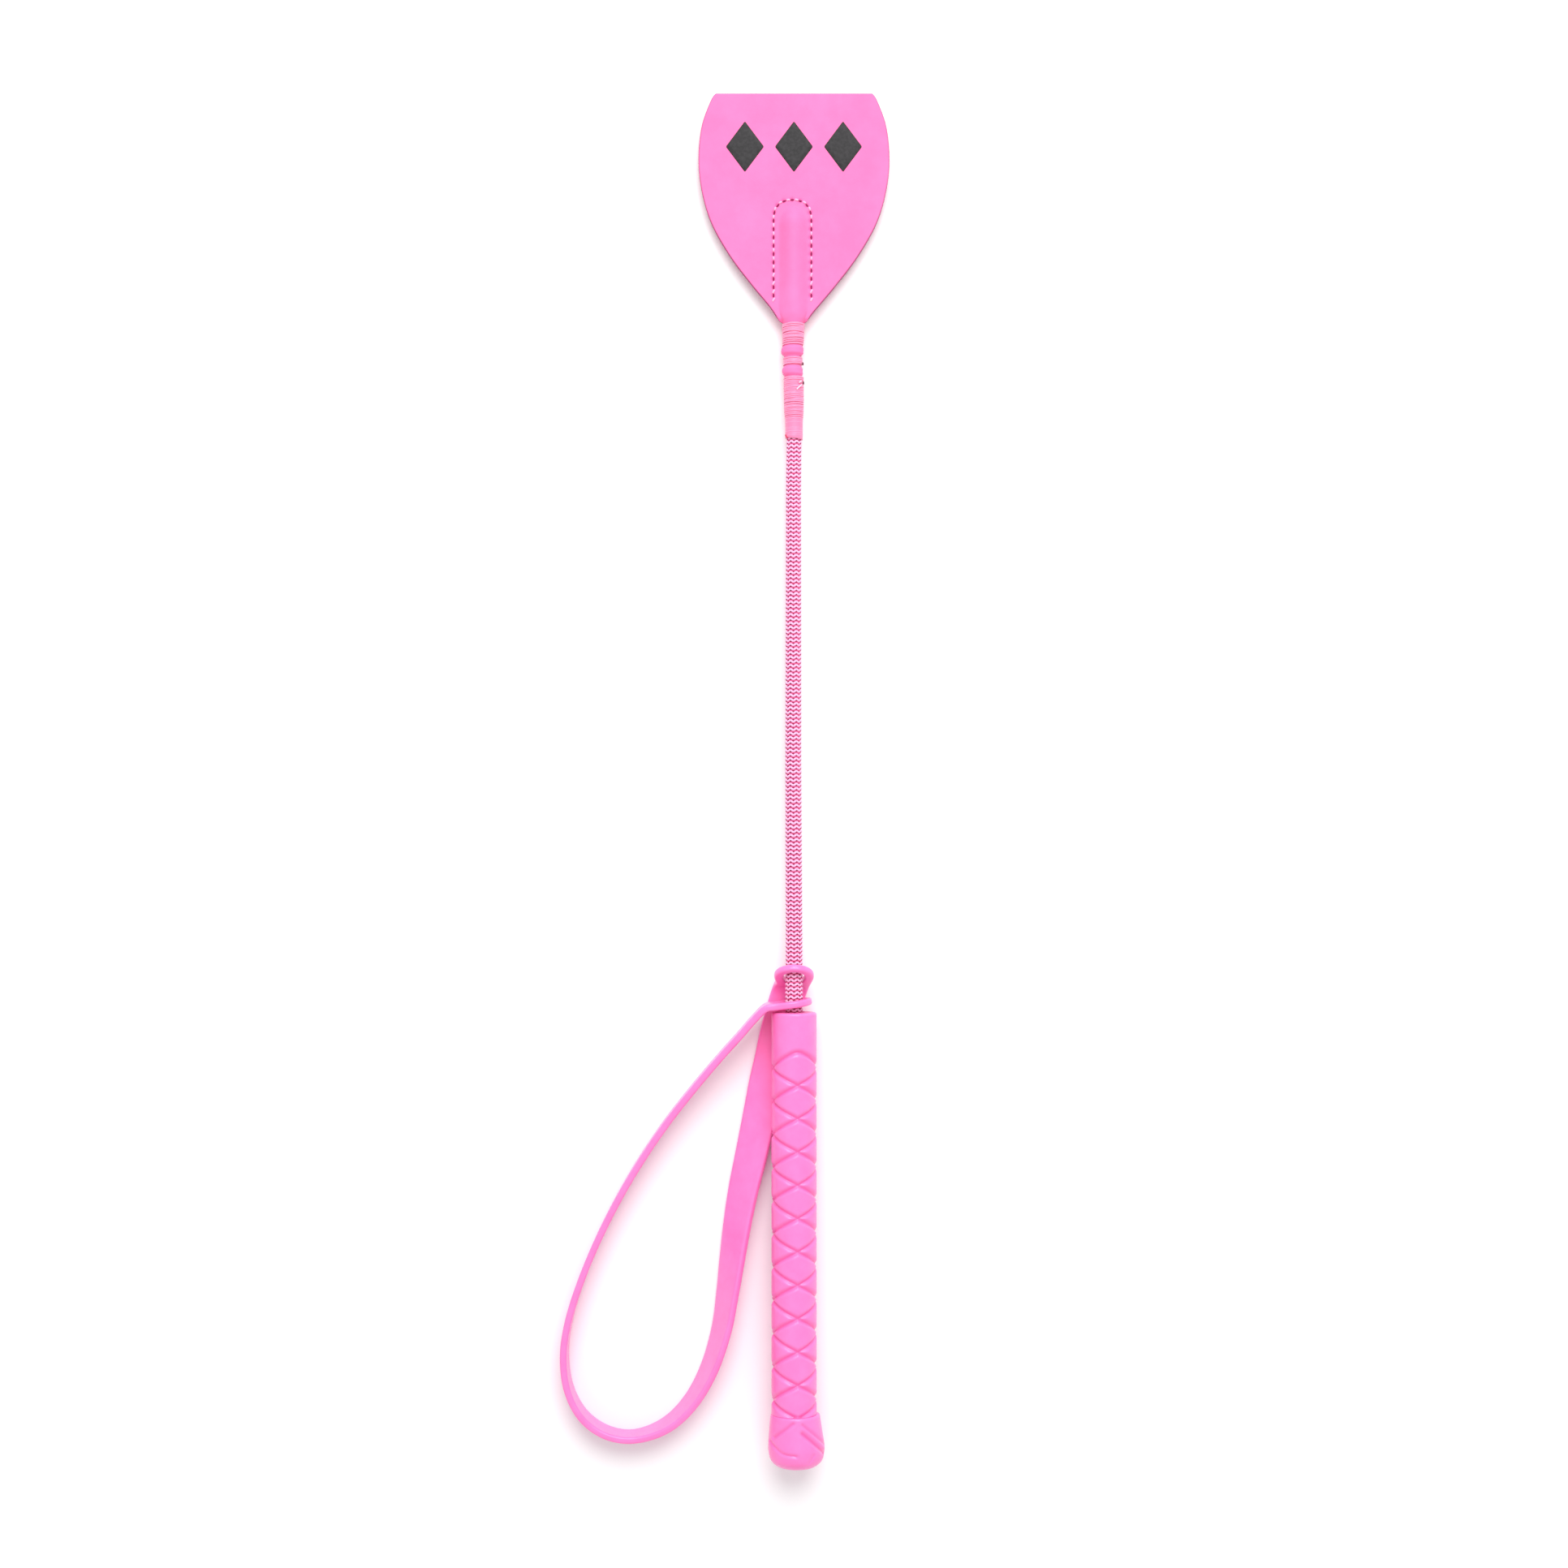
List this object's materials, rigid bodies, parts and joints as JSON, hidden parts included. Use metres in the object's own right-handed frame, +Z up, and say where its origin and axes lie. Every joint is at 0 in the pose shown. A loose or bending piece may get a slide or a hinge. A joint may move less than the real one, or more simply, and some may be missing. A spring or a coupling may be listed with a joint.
{
  "type": "riding crop",
  "caption": "Short riding crop: braided shaft, moulded grip with a bulb at the butt, swivelling wrist loop, and a stitched leather tongue bound on at the tip.",
  "frame": {"origin": "on the floor that the crop lies on, under the middle of its bounding box", "axes": "+Z up from the floor, +Y along the crop from the butt to the tongue, +X to the right seen from above; the wrist loop lies on the -X side"},
  "size_m": [0.1096, 0.4572, 0.023],
  "materials": {
    "glass_fibre": "satin",
    "braid": "satin",
    "grip_rubber": "satin",
    "core_wood": "matte",
    "tongue_leather": "satin",
    "stitching": "matte",
    "binding_thread": "satin",
    "strap_rubber": "gloss"
  },
  "bodies": {
    "crop": {"core_rod": "glass_fibre", "braid_sleeve": "braid", "handle_core": "core_wood", "grip_sleeve": "grip_rubber", "pommel_cap": "grip_rubber", "tongue_front_base": "tongue_leather", "tongue_back_base": "tongue_leather", "binding_lower": "binding_thread", "binding_middle": "binding_thread", "binding_upper": "binding_thread", "stitch_thread_front": "stitching", "stitch_thread_back": "stitching"},
    "wrist_loop": {"wrist_strap": "strap_rubber"},
    "tongue_flap": {"tongue_front_flap": "tongue_leather", "tongue_back_flap": "tongue_leather"}
  },
  "joints": [
    {"name": "loop_swivel", "type": "hinge", "parent": "crop", "child": "wrist_loop", "pos_m": [0.02289, -0.07056, 0.01003], "axis": [0, 0.9997, -0.0239], "continuous": true},
    {"name": "tongue_flex", "type": "hinge", "parent": "crop", "child": "tongue_flap", "pos_m": [0.02289, 0.19786, 0.00362], "axis": [1, 0, 0], "range_deg": [-60, 60], "stiffness_Nm_per_rad": 0.1}
  ]
}
